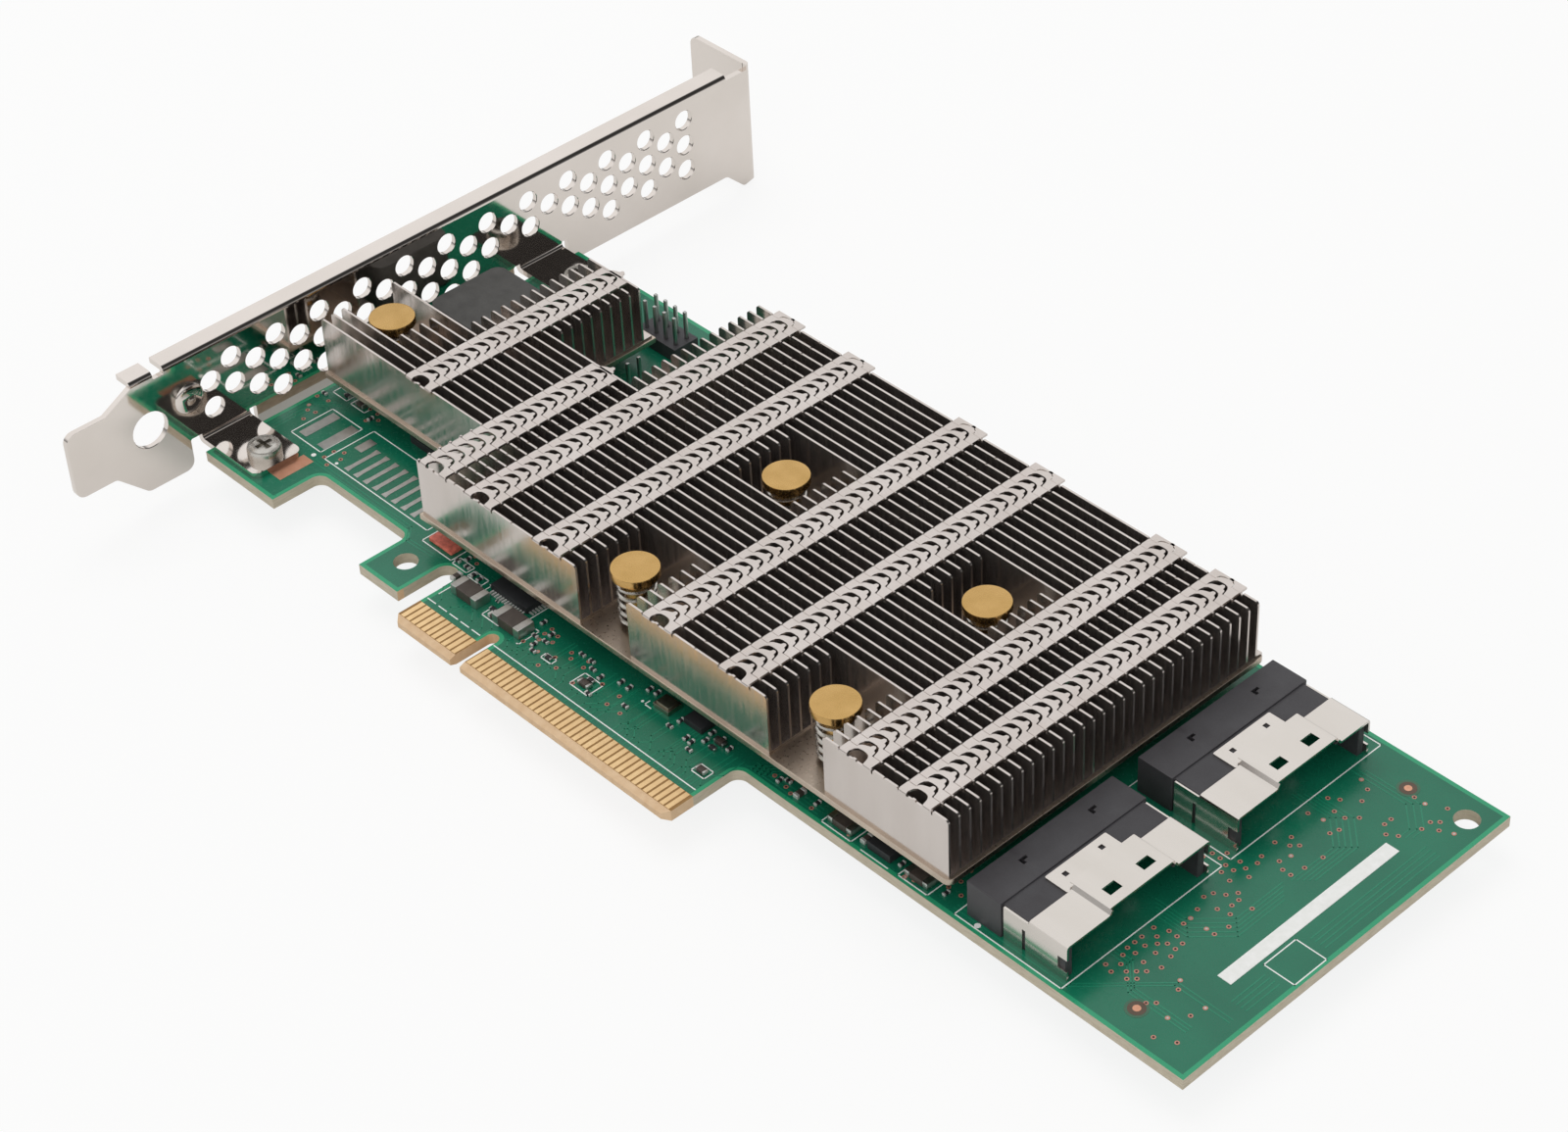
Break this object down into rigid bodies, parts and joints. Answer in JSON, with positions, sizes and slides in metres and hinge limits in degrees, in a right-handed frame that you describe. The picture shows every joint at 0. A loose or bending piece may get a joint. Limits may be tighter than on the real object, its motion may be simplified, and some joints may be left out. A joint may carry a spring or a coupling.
{
  "type": "drive controller card",
  "caption": "Low edge-connector expansion card with a vented slot bracket, a folded-fin heat sink held by spring pins, and cable ports at the far end.",
  "frame": {"origin": "centre of the key notch on the outer edge of the contacts, on the board's component face", "axes": "+X along the card towards the cable ports, +Y from the contacts to the card's top edge, +Z out of the component face"},
  "size_m": [0.1817, 0.12, 0.0203],
  "materials": {
    "board": "glossy green solder mask over glass-fibre laminate",
    "gold": "gold plating",
    "bracket_nickel": "bright nickel-plated steel sheet",
    "fastener_steel": "nickel-plated steel",
    "sink_base": "dull nickel-plated sheet",
    "sink_fins": "bright nickel-plated thin sheet",
    "pin_brass": "turned brass",
    "spring_steel": "spring wire",
    "chip_plastic": "black moulded epoxy",
    "thermal_pad": "soft silicone gap pad",
    "port_plastic": "black glass-filled moulding",
    "port_steel": "satin stainless sheet",
    "inductor_ferrite": "dark grey pressed ferrite",
    "tin": "tinned metal",
    "capacitor_ceramic": "brown ceramic",
    "red_plastic": "red coating",
    "clock_ceramic": "ceramic with a metal lid"
  },
  "bodies": {
    "root": {"board": "board", "edge_contacts": "gold", "bracket": "bracket_nickel", "bracket_screws": "fastener_steel", "bracket_nuts": "fastener_steel", "heatsink_base": "sink_base", "spring_pins": "pin_brass", "pin_springs": "spring_steel", "controller_chip": "chip_plastic", "memory_chips": "chip_plastic", "thermal_pads": "thermal_pad", "cable_port_1_housing": "port_plastic", "cable_port_1_shell": "port_steel", "cable_port_1_contacts": "gold", "cable_port_2_housing": "port_plastic", "cable_port_2_shell": "port_steel", "cable_port_2_contacts": "gold", "header_bases": "port_plastic", "header_pins": "gold", "power_inductor": "inductor_ferrite", "interface_chip": "chip_plastic", "chip_capacitors": "capacitor_ceramic", "chip_resistors": "chip_plastic", "chip_terminals": "tin", "small_chips": "chip_plastic", "fuse_array": "red_plastic", "clock_crystal": "clock_ceramic", "fin_01": "sink_fins", "fin_02": "sink_fins", "fin_03": "sink_fins", "fin_04": "sink_fins", "fin_05": "sink_fins", "fin_06": "sink_fins", "fin_07": "sink_fins", "fin_08": "sink_fins", "fin_09": "sink_fins", "fin_10": "sink_fins", "fin_11": "sink_fins", "fin_12": "sink_fins", "fin_13": "sink_fins", "fin_14": "sink_fins", "fin_15": "sink_fins", "fin_16": "sink_fins", "fin_17": "sink_fins", "fin_18": "sink_fins", "fin_19": "sink_fins", "fin_20": "sink_fins", "fin_21": "sink_fins", "fin_22": "sink_fins", "fin_23": "sink_fins", "fin_24": "sink_fins", "fin_25": "sink_fins", "fin_26": "sink_fins", "fin_27": "sink_fins", "fin_28": "sink_fins", "fin_29": "sink_fins", "fin_30": "sink_fins", "fin_31": "sink_fins", "fin_32": "sink_fins"}
  },
  "joints": []
}
